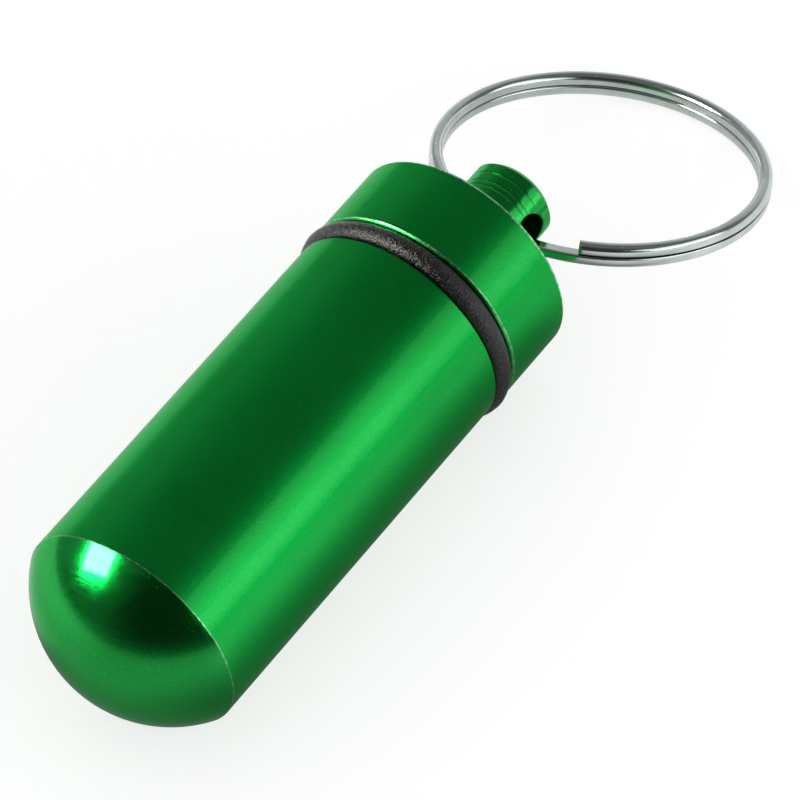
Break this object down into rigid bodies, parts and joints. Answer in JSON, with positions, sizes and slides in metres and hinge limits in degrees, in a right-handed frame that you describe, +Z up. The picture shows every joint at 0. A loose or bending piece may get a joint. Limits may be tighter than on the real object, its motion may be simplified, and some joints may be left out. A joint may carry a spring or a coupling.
{
  "type": "pill fob keychain",
  "caption": "Small screw-top metal tube with a domed end, sealed by a rubber ring under its cap, and a knob on the cap that carries a split ring for keys.",
  "frame": {"origin": "middle of the footprint of the fob as it lies on its side, on the surface that it lies on", "axes": "+X along the tube's axis from the domed end towards the knob and the split ring, +Z up, +Y to the left as seen looking along +X"},
  "size_m": [0.0708, 0.0248, 0.0177],
  "materials": {
    "green_tube": "satin green anodised",
    "seal_rubber": "matte black",
    "green_cap": "satin green anodised",
    "ring_steel": "polished nickel plate"
  },
  "bodies": {
    "tube": {"container": "green_tube"},
    "seal": {"o_ring": "seal_rubber"},
    "lid": {"cap": "green_cap"},
    "ring": {"split_ring": "ring_steel"}
  },
  "joints": [
    {"name": "cap_advance", "type": "slide", "parent": "tube", "child": "seal", "axis": [1, 0, 0], "range_m": [0, 0.0052]},
    {"name": "cap_turn", "type": "hinge", "parent": "seal", "child": "lid", "pos_m": [0, 0.00125, 0.00887], "axis": [1, 0, 0], "range_deg": [0, 1800]},
    {"name": "ring_swing", "type": "hinge", "parent": "lid", "child": "ring", "pos_m": [0.01257, 0.00125, 0.00887], "axis": [0, 0.9986, -0.0523], "range_deg": [-145, 115]}
  ],
  "couplings": [
    {"joint": "cap_advance", "follows": "cap_turn", "m_per_rad": 0.00015915}
  ]
}
